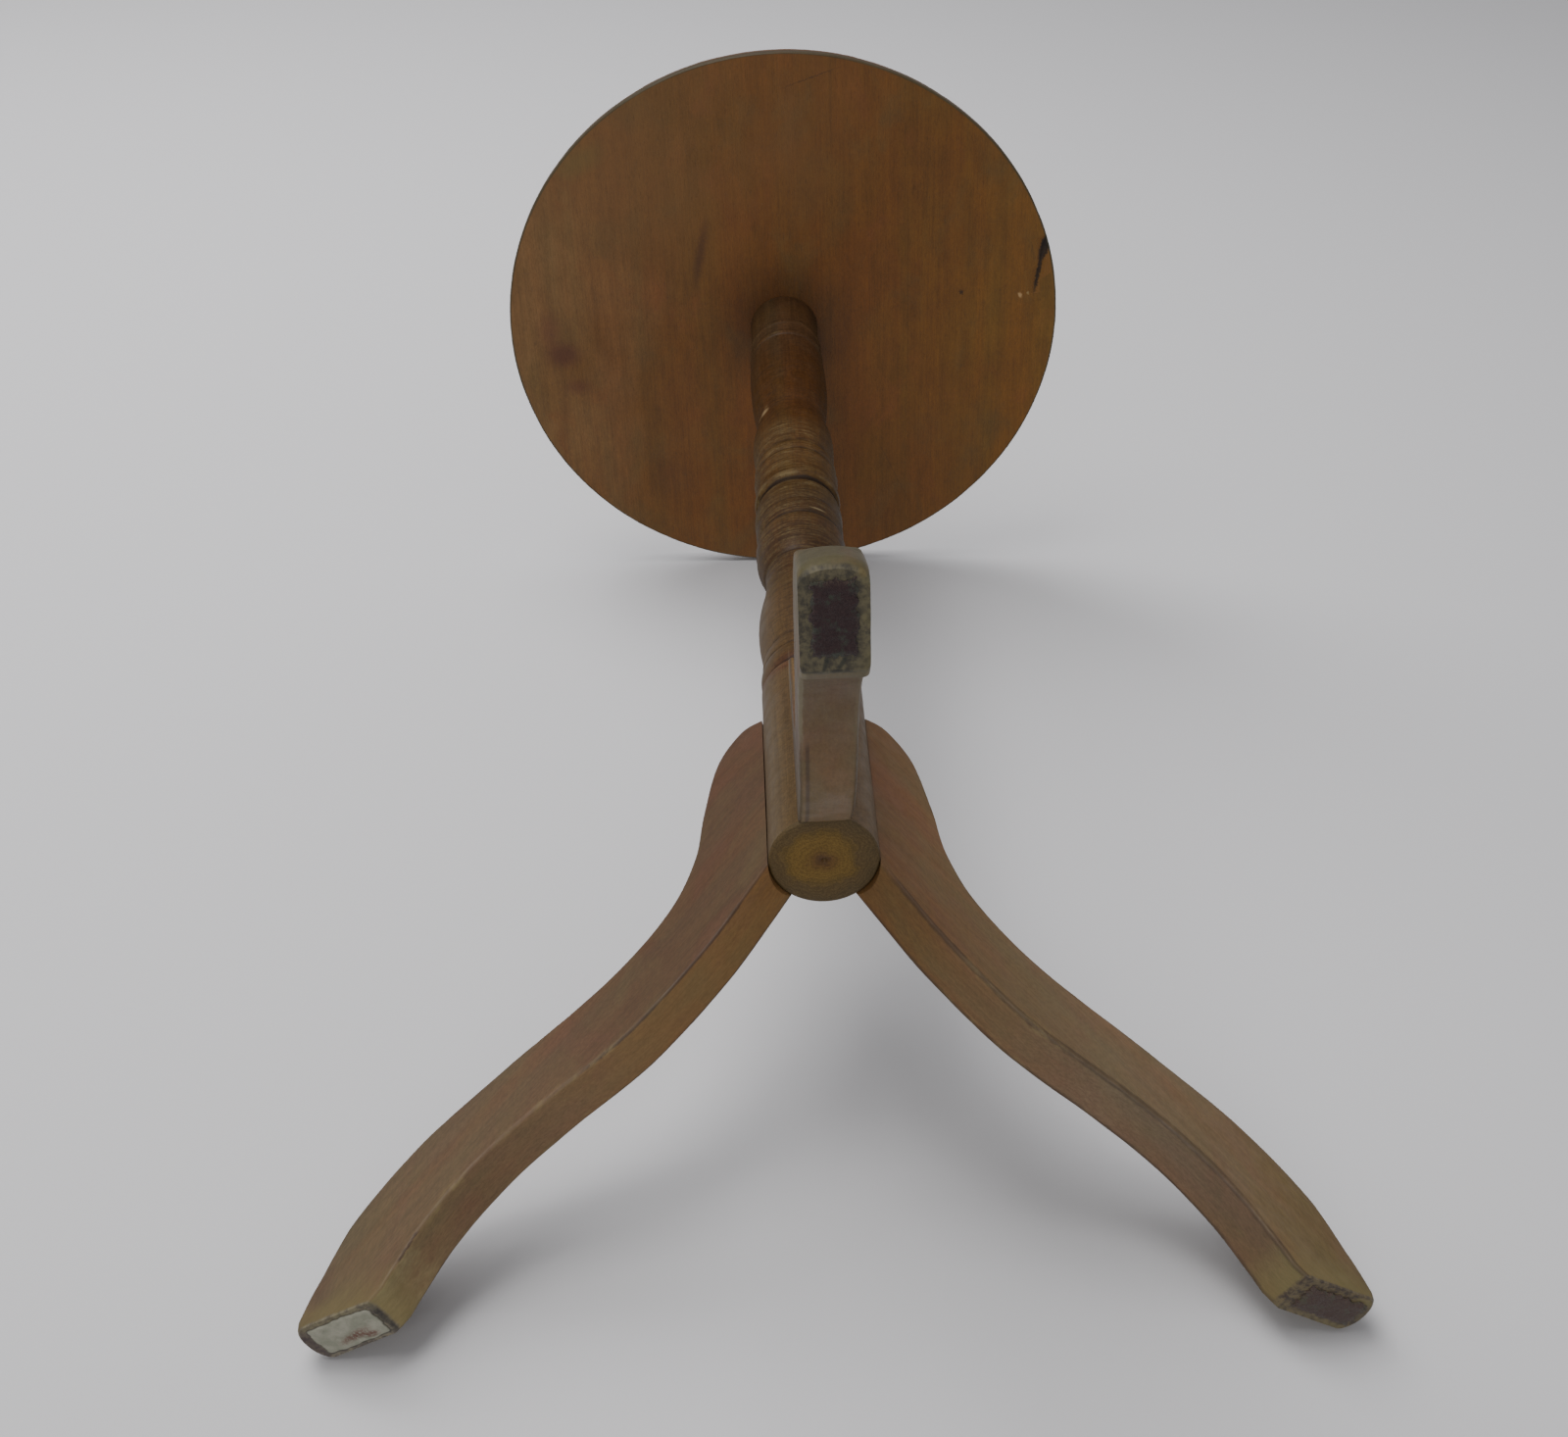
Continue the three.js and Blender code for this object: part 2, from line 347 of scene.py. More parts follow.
def column_profile():
    """The turned outline with its arcs, from the foot to the shoulder under the top."""
    shoulder = TOP_UNDERSIDE - GLUE_GAP - COLUMN_BOTTOM
    stations = COLUMN_STATIONS + ((shoulder, NECK_RADIUS, 0),)
    points = [stations[0][:2]]
    for before, (height, radius, bulge) in zip(stations, stations[1:]):
        points += refine([before[:2], *arc(before[:2], (height, radius), bulge, 24)])
    return points


def make_column():
    """The turned column, with the lathe centre's mark in its foot, its tenon, and the dowel holes."""
    outline = column_profile()
    heights, radii = zip(*outline)
    shoulder = heights[-1]
    grid = np.arange(0, shoulder, 0.25)
    level = np.interp(grid, heights, radii)
    broad = level - running_mean(level, 41)
    sharp = level - running_mean(level, 9)
    foot = [(1.6, 0), (1.1, 0.5), (0.25, 1.1), (0, 1.6), (0, 5), (0, 10), (0, 15)]
    tenon = [(shoulder, TENON_RADIUS), (shoulder + TENON_LENGTH, TENON_RADIUS),
             (shoulder + TENON_LENGTH, 0)]
    profile = [(COLUMN_BOTTOM + z, r) for z, r in foot + outline + tenon]
    points, faces = revolve(profile, COLUMN_SIDES, out_of_round=0.18, seed=5)
    up = np.array([p[2] for p in points]) - COLUMN_BOTTOM
    item = piece("turned_column", points, faces, grain=[(z, x, y) for x, y, z in points],
                 relief=np.interp(up, grid, broad, left=0, right=0),
                 arris=np.interp(up, grid, sharp, left=0, right=0))
    dent = [(reach * math.cos(math.radians(azimuth)), reach * math.sin(math.radians(azimuth)), height)
            for azimuth, height, reach, _ in DENT]
    carve(item, [spindle(dent, [radius for *_, radius in DENT])]
          + [dowel_hole(azimuth, height, DOWEL_REACH[0] - GLUE_GAP, BARREL_RADIUS + 2)
             for azimuth in LEG_AZIMUTHS.values() for height in DOWEL_HEIGHTS])
    return item


def running_mean(values, count):
    """The mean of each value and its neighbours, count of them together."""
    return np.convolve(np.pad(values, count // 2, mode="edge"), np.ones(count) / count, mode="valid")


def spline(points):
    """Many points along the smooth curve through the given ones."""
    fine = []
    last = len(points) - 1
    for i in range(last):
        p0, p1, p2, p3 = (np.array(points[j]) for j in (max(i - 1, 0), i, i + 1, min(i + 2, last)))
        for t in np.linspace(0, 1, SPLINE_STEPS, endpoint=False):
            a, b = (p2 - p0) / 2, (p3 - p1) / 2
            fine.append(p1 + a * t + (3 * (p2 - p1) - 2 * a - b) * t ** 2
                        + (2 * (p1 - p2) + a + b) * t ** 3)
    return np.array(fine + [np.array(points[-1])])


def even(curve, count):
    """Equally spaced points along a curve."""
    return points_at(curve, np.linspace(0, run_along(curve)[-1], count))


def leg_edge(stations, close):
    """One edge of a leg from where its hollowed end starts, with its slope there."""
    start = math.sqrt((BARREL_RADIUS + GLUE_GAP) ** 2 - (LEG_THICKNESS / 2) ** 2)
    curve = spline(stations)
    curve = curve[curve[:, 0] >= start]
    rise = curve[8] - curve[0]
    return np.concatenate([even(curve, LEG_SECTIONS), close]), rise[1] / rise[0]


def spread(length, radius, inner):
    """Places across a section's side, close together at its rounded corners."""
    corner = np.array([0, 0.35, 0.7, 1]) * radius
    flat = np.linspace(radius, length - radius, inner + 2)[1:-1]
    return np.concatenate([corner, flat, (length - corner)[::-1]])


def rounded(s, y, width, radius):
    """The point of a rounded section that stands for a point of the sharp one."""
    half_s, half_y = width / 2, LEG_THICKNESS / 2
    q = np.array([s - half_s, y])
    core = np.clip(q, (radius - half_s, radius - half_y), (half_s - radius, half_y - radius))
    out = q - core
    length = np.linalg.norm(out)
    if length < 1e-6 or min(abs(out)) < 1e-6:
        return s, y
    turned = core + out * (max(abs(out)) / length)
    return turned[0] + half_s, turned[1]


def stands(side, reach, across, height):
    """A point of a leg or its pad, given along and across the leg, turned to where the leg stands."""
    azimuth = math.radians(LEG_AZIMUTHS[side])
    ahead, aside = math.cos(azimuth), math.sin(azimuth)
    return reach * ahead - across * aside, reach * aside + across * ahead, height


class LegSurface:
    """The points of one sawn leg, in sections from the column to the toe, with what its material reads."""

    GRAIN_FALL = (0.77, 0.64)
    GRAIN_APART = 40

    def __init__(self, side, seed):
        self.side = side
        self.seed = seed
        self.outer, self.outer_slope = leg_edge(LEG_OUTER, LEG_TOE)
        self.inner, self.inner_slope = leg_edge(LEG_INNER, LEG_HEEL)
        self.points, self.grain, self.within = [], [], []

    def add(self, i, s, y, width, radius):
        """The point of section i that is s from the outer edge and y off the middle, rubbed and shaped."""
        s, y = rounded(s, y, width, radius)
        inward = s / width
        x, z = self.outer[i] + (self.inner[i] - self.outer[i]) * inward
        if abs(y) > LEG_THICKNESS / 2 - 2:
            y += math.copysign(SAWN_WAVE * wobble(self.seed, x, z, y, scale=0.06), y)
        if i < HOLLOWED_SECTIONS:
            x, z = self.against_column(i, x, y, z, inward)
        if x > TOE_START:
            x -= TOE_ROUND * abs(2 * y / LEG_THICKNESS) ** 2.4 * min(1, (x - TOE_START) / TOE_RUN)
        fall, run = self.GRAIN_FALL
        self.points.append(stands(self.side, x, y, z))
        self.grain.append((x * fall - z * run, x * run + z * fall, y + self.GRAIN_APART * self.seed))
        self.within.append((x, y, math.hypot(width - s, LEG_THICKNESS / 2 - abs(y))))
        return len(self.points) - 1

    def against_column(self, i, x, y, z, inward):
        """The first sections are pushed out along the leg's own slope to lie round the column."""
        hollow = math.sqrt((BARREL_RADIUS + GLUE_GAP) ** 2 - min(y ** 2, LEG_THICKNESS ** 2 / 4))
        pushed = hollow if i == 0 else max(x, hollow + HOLLOW_STEP * i)
        slope = self.outer_slope * (1 - inward) + self.inner_slope * inward
        return pushed, z + slope * (pushed - x)

    def section(self, i):
        """The points round section i by their place in its grid, then the grid's lines and its size."""
        width = float(np.linalg.norm(self.inner[i] - self.outer[i]))
        drift = wobble(self.seed + 1, i / LEG_SECTIONS * 300, 0, 0, scale=0.03)
        radius = LEG_CORNER + LEG_CORNER_DRIFT * drift
        s_lines = spread(width, radius, LEG_SPANS["width"])
        y_lines = spread(LEG_THICKNESS, radius, LEG_SPANS["thickness"]) - LEG_THICKNESS / 2
        ring = {(a, b): self.add(i, s_lines[a], y_lines[b], width, radius)
                for a, b in grid_outline(len(s_lines) - 1, len(y_lines) - 1)}
        return ring, s_lines, y_lines, width, radius

    def end_faces(self, i, grid, s_lines, y_lines, width, radius):
        """Quads that close a leg's end, joined to the ring of points round it."""
        for a in range(1, len(s_lines) - 1):
            for b in range(1, len(y_lines) - 1):
                grid[a, b] = self.add(i, s_lines[a], y_lines[b], width, radius)
        return [(grid[a, b], grid[a + 1, b], grid[a + 1, b + 1], grid[a, b + 1])
                for a in range(len(s_lines) - 1) for b in range(len(y_lines) - 1)]


def make_leg(side, seed):
    """One sawn leg: sections from the column to the toe, rubbed corners, a hollowed end and dowel holes."""
    surface = LegSurface(side, seed)
    sections = [surface.section(i) for i in range(len(surface.outer))]
    rings = [list(section[0].values()) for section in sections]
    faces = []
    for low, high in zip(rings, rings[1:]):
        faces += ring_quads(low, high)
    for i in (0, len(sections) - 1):
        faces += surface.end_faces(i, *sections[i])
    item = piece(f"leg_{side}_wood", surface.points, faces, grain=surface.grain, within=surface.within)
    carve(item, [dowel_hole(LEG_AZIMUTHS[side], height, BARREL_RADIUS - 2, DOWEL_REACH[1] + GLUE_GAP)
                 for height in DOWEL_HEIGHTS])
    return item


# ---- pads ----


def pad_place(u, v, edge, size, fray, seed):
    """Where a point of the pad's grid lies, with hand-cut corners and a frayed outline."""
    x = u * size["length"] / 2 * (1 - 0.035 * v ** 4)
    y = v * size["width"] / 2 * (1 - 0.06 * u ** 4)
    shift = fray * edge ** 6
    return (x + shift * wobble(seed, u * 9, v * 9, 1, scale=0.55) * 1.6,
            y + shift * wobble(seed + 1, u * 9, v * 9, 2, scale=0.55) * 1.6)


def pad_depth(x, y, edge, lumps, seed):
    """How far the pad's lumpy face stands below its top, less at its outline."""
    lump = lumps * (0.75 + 0.25 * wobble(seed + 2, x, y, 0, scale=0.35)
                    + 0.12 * wobble(seed + 3, x, y, 0, scale=1.1))
    return min(lump * (1 - 0.75 * edge ** 10), PAD_THICKNESS + 0.25)


def make_pad(name, side, size, top, fray, lumps, seed):
    """A thin pad under a foot, with an uneven outline and a lumpy face, its top just below the sole."""
    points, grain, edges = [], [], []
    for is_top in (False, True):
        for a in range(PAD_ROWS + 1):
            for b in range(PAD_CELLS + 1):
                u, v = 2 * a / PAD_ROWS - 1, 2 * b / PAD_CELLS - 1
                edge = max(abs(u), abs(v))
                x, y = pad_place(u, v, edge, size, fray, seed)
                height = top if is_top else top - pad_depth(x, y, edge, lumps, seed)
                points.append(stands(side, size["radius"] + x, y, height))
                grain.append((x, y, height))
                edges.append(edge)
    return piece(name, points, pad_faces(), creases=70, grain=grain, relief=edges)


def pad_faces():
    """The faces of a pad: its lower grid, its upper grid and the strip round them."""
    line = PAD_CELLS + 1
    layer = (PAD_ROWS + 1) * line
    faces = []
    for a in range(PAD_ROWS):
        for p in range(a * line, a * line + PAD_CELLS):
            q = p + line
            faces.append((p, p + 1, q + 1, q))
            faces.append((layer + p, layer + q, layer + q + 1, layer + p + 1))
    rim = [a * line + b for a, b in grid_outline(PAD_ROWS, PAD_CELLS)]
    return faces + ring_quads(rim, [layer + p for p in rim])


# ---- materials ----


def tone(red, green, blue):
    """A colour given as 0 to 255 display values, as the linear colour a shader takes."""
    def linear(c):
        c /= 255
        return c / 12.92 if c <= 0.04045 else ((c + 0.055) / 1.055) ** 2.4
    return (linear(red), linear(green), linear(blue), 1)


class Shader:
    """One procedural material. Each method adds nodes and returns the socket that gives its result."""

    def __init__(self, name):
        self.material = bpy.data.materials.new(name)
        self.material.use_nodes = True
        self.tree = self.material.node_tree
        self.tree.nodes.clear()

    def node(self, kind, feeds=(), **settings):
        made = self.tree.nodes.new("ShaderNode" + kind)
        for key, value in settings.items():
            setattr(made, key, value)
        for key, value in dict(feeds).items():
            if isinstance(value, bpy.types.NodeSocket):
                self.tree.links.new(value, made.inputs[key])
            else:
                made.inputs[key].default_value = value
        return made

    def attribute(self, name, output):
        return self.node("Attribute", attribute_name=name).outputs[output]

    def math(self, operation, a, b=0.0):
        return self.node("Math", {0: a, 1: b}, operation=operation).outputs[0]

    def vector(self, operation, a, b):
        return self.node("VectorMath", {0: a, 1: b}, operation=operation).outputs[0]

    def length(self, vector):
        return self.node("VectorMath", {0: vector}, operation="LENGTH").outputs["Value"]

    def scaled(self, vector, scale, shift=(0, 0, 0)):
        return self.node("Mapping", {"Vector": vector, "Scale": scale, "Location": shift}).outputs[0]

    def noise(self, vector, scale, detail=3.0, rough=0.5, twist=0.0):
        """Noise from 0 to 1; its scale is one number, or one for each axis."""
        if isinstance(scale, tuple):
            vector, scale = self.scaled(vector, scale), 1.0
        return self.node("TexNoise", {"Vector": vector, "Scale": scale, "Detail": detail,
                                      "Roughness": rough, "Distortion": twist}).outputs["Fac"]

    def step(self, value, low, high, to_low=0.0, to_high=1.0):
        """Smooth rise from to_low at low to to_high at high."""
        return self.node("MapRange", {"Value": value, "From Min": low, "From Max": high,
                                      "To Min": to_low, "To Max": to_high},
                         interpolation_type="SMOOTHSTEP").outputs["Result"]

    def ragged(self, value, waves, amount):
        """The value shifted to and fro by some noise, so that what follows from it has an uneven border."""
        return self.math("ADD", value, self.step(waves, 0.3, 0.7, -amount, amount))

    def window(self, value, start, end, soft):
        """1 from start to end, falling to 0 over soft on either side."""
        return self.both(self.step(value, start - soft, start), self.step(value, end, end + soft, 1.0, 0.0))

    def ramp(self, value, stops):
        """The colour at value among stops of a rising value and a display colour."""
        low, high = stops[0][0], stops[-1][0]
        along = self.node("MapRange", {"Value": value, "From Min": low, "From Max": high}).outputs["Result"]
        made = self.node("ValToRGB", {0: along})
        marks = made.color_ramp.elements
        marks[0].color = tone(*stops[0][1])
        marks[1].color = tone(*stops[-1][1])
        for at, colour in stops[1:-1]:
            marks.new((at - low) / (high - low)).color = tone(*colour)
        return made.outputs["Color"]

    def grey(self, value):
        return self.node("CombineXYZ", {0: value, 1: value, 2: value}).outputs[0]

    def blend(self, factor, a, b, mode="MIX"):
        return self.node("Mix", {0: factor, 6: a, 7: b}, data_type="RGBA", blend_type=mode).outputs[2]

    def shaded(self, colour, shade):
        """The colour times a shade, which is 1 where nothing changes."""
        return self.blend(1.0, colour, self.grey(shade), "MULTIPLY")

    def over(self, colour, paint, *masks):
        """The colour with a display colour laid over it as far as all the masks let it."""
        return self.blend(self.both(*masks), colour, tone(*paint))

    def both(self, *masks):
        result = masks[0]
        for mask in masks[1:]:
            result = self.math("MULTIPLY", result, mask)
        return result

    def position(self):
        """The place on the object in millimetres from the column's axis and the wood of the feet."""
        place_now = self.node("NewGeometry").outputs["Position"]
        shift = (-AXIS.x / MM, -AXIS.y / MM, -FEET / MM)
        return self.scaled(place_now, (1 / MM, 1 / MM, 1 / MM), shift)

    def split(self, vector):
        return self.node("SeparateXYZ", {0: vector}).outputs

    def spot(self, where, centre, half, soft=0.5, turn=0.0):
        """1 inside an oval of half sizes `half` round `centre`, falling to 0 over its soft edge."""
        shifted = self.vector("SUBTRACT", where, centre)
        if turn:
            shifted = self.node("VectorRotate", {"Vector": shifted, "Angle": math.radians(turn)},
                                rotation_type="Z_AXIS").outputs[0]
        far = self.length(self.vector("DIVIDE", shifted, half))
        return self.step(far, 1 - soft, 1 + soft, 1.0, 0.0)

    def finish(self, colour, roughness, height, depth, sheen=0.0, specular=0.5):
        """The surface, with a relief of the given depth in metres."""
        bump = self.node("Bump", {"Strength": 1.0, "Distance": depth, "Height": height})
        surface = self.node("BsdfPrincipled", {"Base Color": colour, "Roughness": roughness,
                                               "Normal": bump.outputs[0], "Sheen Weight": sheen,
                                               "Specular IOR Level": specular})
        self.node("OutputMaterial", {"Surface": surface.outputs[0]}, is_active_output=True)
        return self.material


def grain_layers(s, grain, width=1):
    """Fibres, pores and broad bands of the wood, along the first grain axis."""
    fibre = s.noise(grain, (0.018, 0.9 * width, 0.9 * width), 6, 0.6, 0.2)
    streak = s.noise(grain, (0.006, 0.16 * width, 0.16 * width), 4, 0.55, 0.4)
    band = s.noise(grain, (0.0028, 0.035 * width, 0.035 * width), 3, 0.5, 0.6)
    pore = s.noise(grain, (0.16, 3.4, 3.4), 2, 0.5)
    return {"fibre": fibre, "streak": streak, "band": band, "pore": s.step(pore, 0.6, 0.72)}


def timber(s, base, layers, contrast=1, streaks=0.55):
    """The base colour with the wood's own variation: olive to ruddy zones, streaks, fibres and pores."""
    zone = s.blend(s.step(layers["band"], 0.34, 0.66), (0.95, 1.03, 1.03, 1), (1.06, 0.98, 0.93, 1))
    colour = s.blend(1, base, zone, "MULTIPLY")
    lines = s.math("ADD", s.both(layers["streak"], streaks), s.both(layers["fibre"], 1 - streaks))
    shade = s.step(lines, 0.37, 0.63, 1 - 0.22 * contrast, 1 + 0.22 * contrast)
    return s.shaded(colour, s.both(shade, s.step(layers["pore"], 0, 1, 1, 1 - 0.3 * contrast)))


# Tones of the board's underside from its left to its right.
TOP_TONES = ((-152, (110, 80, 47)), (-120, (104, 73, 40)), (-75, (95, 62, 26)), (-35, (97, 61, 21)),
             (37, (95, 57, 16)), (75, (96, 61, 17)), (130, (103, 68, 20)), (152, (107, 72, 24)))


def top_material():
    s = Shader("top_wood")
    grain = s.attribute("grain", "Vector")
    where = s.position()
    x, _, up = s.split(where)
    layers = grain_layers(s, grain)
    haze = s.noise(grain, (0.012, 0.016, 0.02), 3, 0.55)
    cloud = s.noise(grain, (0.02, 0.028, 0.03), 4, 0.6, 0.5)
    mottle = s.noise(grain, (0.05, 0.12, 0.12), 6, 0.75)
    fleck = s.noise(grain, (0.45, 1.5, 1.5), 3, 0.7)
    colour = timber(s, s.ramp(s.ragged(x, haze, 30), TOP_TONES), layers, 0.45, 0.42)
    colour = s.over(colour, (84, 66, 34), s.step(cloud, 0.5, 0.72, 0, 0.45))
    colour = s.over(colour, (108, 60, 28), s.step(cloud, 0.28, 0.46, 0.4, 0))
    colour = s.shaded(colour, s.step(mottle, 0.3, 0.7, 0.88, 1.12))
    colour = s.shaded(colour, s.step(fleck, 0.3, 0.7, 0.9, 1.1))
    pale = s.spot(where, (-70, -100, TOP_UNDERSIDE), (90, 55, 40), 0.8, 20)
    colour = s.over(colour, (116, 84, 52), pale, s.step(haze, 0.3, 0.6, 0.1, 0.4))
    colour = underside_marks(s, where, haze, colour)
    # painted shade round the column (darker towards it), a dark line along the rim, and a redder, glossier
    # finish on the upper face
    reach = s.length(s.vector("MULTIPLY", where, (1, 1, 0)))
    face = s.step(up, TOP_UNDERSIDE + 2, TOP_UNDERSIDE + 6)
    shade_round_column = s.step(s.math("ADD", reach, s.both(haze, 10)), 22, 56, 0.62, 1)
    colour = s.shaded(colour, s.math("MAXIMUM", shade_round_column, face))
    rim = s.both(s.step(reach, TOP_RADIUS - 1.2, TOP_RADIUS - 0.6), s.step(face, 0, 0.6, 1, 0))
    colour = s.over(colour, (50, 50, 32), rim, 0.75)
    colour = s.over(colour, (100, 54, 24), face, s.step(layers["band"], 0.35, 0.65, 0.3, 0.6))
    colour = s.over(colour, (66, 36, 18), face, s.step(layers["streak"], 0.46, 0.66, 0, 0.5))
    hairline = s.noise(grain, (0.7, 0.05, 0.1), 2, 0.5)
    roughness = s.math("SUBTRACT", s.step(haze, 0.3, 0.7, 0.5, 0.58), s.both(face, 0.2))
    roughness = s.math("ADD", roughness, s.both(face, s.step(hairline, 0.62, 0.68, 0, 0.12)))
    height = s.math("ADD", s.both(layers["fibre"], 0.5), s.both(layers["pore"], -0.6))
    return s.finish(colour, roughness, height, 0.00012, specular=0.35)


# Stains, scratches and chips on the board's underside: place, half sizes, softness, turn, strength, colour.
UNDERSIDE_MARKS = (
    ((-44.2, -45.5), (2.2, 15), 0.8, -11.4, 0.65, (64, 38, 22)),
    ((-124.5, 11), (8, 6.8), 0.7, 0, 0.7, (76, 40, 29)),
    ((-118.2, 31.4), (6, 4), 0.9, 0, 0.55, (80, 42, 29)),
    ((-131, -4), (5, 9), 0.9, 0, 0.45, (88, 46, 34)),
    ((-105.6, -99.7), (12, 6), 0.8, 30, 0.35, (92, 84, 46)),
    ((18.5, -138.8), (14, 0.35), 0.6, 17.7, 0.55, (52, 36, 22)),
    ((99.1, -16.2), (1.1, 1.3), 0.5, 0, 0.8, (30, 20, 14)),
    ((132, -12.9), (1, 1.4), 0.5, 20, 0.75, (168, 138, 96)),
    ((136.3, -14.2), (0.6, 0.9), 0.5, 0, 0.6, (150, 128, 84)),
    ((144.2, -40.5), (2.6, 8), 0.25, -14.7, 0.94, (18, 14, 12)),
    ((141.4, -26), (1.1, 11), 0.4, -8.9, 0.9, (24, 18, 14)),
    ((62, 96), (0.3, 22), 0.6, 24, 0.3, (60, 38, 22)),
    ((-70, 92), (9, 14), 0.9, 10, 0.25, (64, 40, 24)),
)
MARK_DEPTH = 4


def underside_marks(s, where, haze, colour):
    """The marks laid on the underside, their outlines a little ragged."""
    waves = s.noise(where, 0.9, 3, 0.6)
    shifted = s.vector("ADD", where, s.grey(s.step(waves, 0.2, 0.8, -0.5, 0.5)))
    for centre, half, soft, turn, strength, paint in UNDERSIDE_MARKS:
        mask = s.spot(shifted, (*centre, TOP_UNDERSIDE), (*half, MARK_DEPTH), soft, turn)
        colour = s.over(colour, paint, mask, s.step(haze, 0.2, 0.6, strength * 0.75, strength))
    return colour


# Tones of the column by height, and the heights between which its rings are dusty.
COLUMN_TONES = ((131, (86, 65, 38)), (200, (83, 63, 39)), (230, (82, 61, 37)), (236, (80, 44, 28)),
                (242, (76, 54, 27)), (257, (80, 58, 33)), (298, (75, 55, 31)), (312, (63, 40, 18)),
                (332, (58, 36, 13)), (345, (67, 42, 16)), (358, (60, 37, 11)), (372, (63, 42, 15)),
                (400, (74, 49, 19)), (437, (70, 46, 19)), (462, (68, 42, 17)), (486, (66, 41, 16)),
                (520, (64, 42, 22)), (548, (67, 48, 30)), (573, (63, 44, 24)), (588, (55, 37, 20)))
RINGS = (300, 434)

# Dents and chips of the column that show bare wood, and a pale line low on its barrel: place, half sizes,
# softness, strength, colour.
COLUMN_MARKS = (
    ((-14.9, -11.8, 466), (3.2, 3.2, 2.1), 0.5, 0.85, (158, 134, 98)),
    ((-17.2, -7.4, 466), (1.8, 2.2, 1.2), 0.6, 0.6, (140, 118, 84)),
    ((-13.6, -13.4, 469.4), (1.6, 1.8, 1), 0.6, 0.6, (140, 118, 84)),
    # a pale vertical line on the barrel, beside the front leg
    ((-8.9, -18.7, 217), (0.5, 2, 20), 0.5, 0.5, (150, 136, 112)),
    ((7.8, -16.4, 356.1), (4, 3, 0.5), 0.5, 0.5, (150, 134, 100)),
)


def turned_material():
    s = Shader("turned_wood")
    grain = s.attribute("grain", "Vector")
    where = s.position()
    x, _, up = s.split(where)
    layers = grain_layers(s, grain, 1.3)
    rub = s.noise(grain, (0.14, 0.1, 0.1), 4, 0.6)
    colour = timber(s, s.ramp(s.ragged(up, rub, 1.5), COLUMN_TONES), layers, 0.8)
    # painted light on the left and painted shade on the right, and dusty lower down on the right
    colour = s.shaded(colour, s.step(s.ragged(x, layers["streak"], 4), -18, 18, 1.06, 0.97))
    below_rings = s.step(up, 230, 300, 1, 0)
    colour = s.over(colour, (108, 88, 66), s.step(x, -2, 14), below_rings, 0.45)
    # fine turning marks, with dust left in them on the ringed part, and old polish
    turning = s.noise(grain, (1.1, 0.05, 0.05), 5, 0.65)
    dust = s.both(s.step(turning, 0.42, 0.64), s.window(up, *RINGS, 12), s.step(rub, 0.3, 0.65, 0.2, 0.6),
                  s.step(x, 4, 14, 1, 0.5))
    film = s.noise(where, (0.6, 0.6, 0.9), 3, 0.7)
    colour = s.over(colour, (106, 92, 62), dust, s.step(film, 0.38, 0.56, 0.25, 1))
    polish = s.both(s.step(turning, 0.36, 0.47, 1, 0), s.window(up, 240, 560, 20))
    colour = s.over(colour, (42, 28, 18), polish, 0.45)
    colour = column_wear(s, x, up, where, rub, colour)
    for centre, half, soft, strength, paint in COLUMN_MARKS:
        mask = s.spot(where, centre, half, soft)
        colour = s.over(colour, paint, mask, s.step(rub, 0.2, 0.7, strength, strength * 0.7))
    colour = end_grain(s, where, up, colour)
    roughness = s.math("ADD", s.step(rub, 0.3, 0.7, 0.42, 0.58), s.both(dust, 0.25))
    height = s.math("ADD", s.both(layers["fibre"], 0.4), s.both(rub, 0.4))
    return s.finish(colour, roughness, height, 0.00012, specular=0.2)


def column_wear(s, x, up, where, rub, colour):
    """Rubbed edges and crowns, fine grit, a painted sheen low on the left, and dirt in the grooves."""
    relief = s.attribute("relief", "Fac")
    arris = s.attribute("arris", "Fac")
    worn = s.step(s.ragged(arris, rub, 0.12), 0.08, 0.3)
    colour = s.over(colour, (114, 98, 66), worn, s.step(rub, 0.35, 0.62, 0.05, 0.3))
    colour = s.over(colour, (112, 96, 62), s.step(s.ragged(relief, rub, 0.4), 0.5, 1.3), 0.1)
    grit = s.noise(where, (0.5, 0.5, 0.8), 4, 0.75)
    colour = s.shaded(colour, s.step(grit, 0.3, 0.7, 0.78, 1.22))
    # painted sheen: pale grey along the left side of the barrel, below the rings
    sheen_low_down = s.step(up, 290, 350, 1, 0)
    colour = s.over(colour, (122, 108, 92), s.step(x, -20, -11, 1, 0), sheen_low_down, 0.25)
    return s.over(colour, (30, 20, 14), s.step(s.ragged(relief, rub, 0.25), -1, -0.1, 1, 0), 0.8)


# Tones of the column's end grain outwards from its heart, and how close its rings are.
END_TONES = ((0, (46, 33, 25)), (1.5, (70, 49, 31)), (3.6, (92, 67, 36)), (6.5, (103, 80, 38)),
             (10, (105, 82, 39)), (12.5, (95, 75, 38)), (15, (86, 69, 42)), (21, (80, 66, 43)))
END_HEART = (-1.5, -1, COLUMN_BOTTOM)
END_RINGS = 3.7


def end_grain(s, where, up, colour):
    """Growth rings on the column's foot: amber between an olive rim and a darker heart."""
    warp = s.noise(where, 0.12, 3, 0.6)
    reach = s.ragged(s.length(s.vector("SUBTRACT", where, END_HEART)), warp, 1.6)
    rings = s.math("SINE", s.both(reach, END_RINGS))
    specks = s.noise(where, 1.7, 4, 0.7)
    shade = s.both(s.step(rings, -1, 1, 0.9, 1.06), s.step(specks, 0.3, 0.7, 0.78, 1.2))
    face = s.shaded(s.ramp(reach, END_TONES), shade)
    level = s.ragged(up, specks, 0.15)
    return s.blend(s.step(level, COLUMN_BOTTOM + 0.7, COLUMN_BOTTOM + 1.5, 1, 0), colour, face)
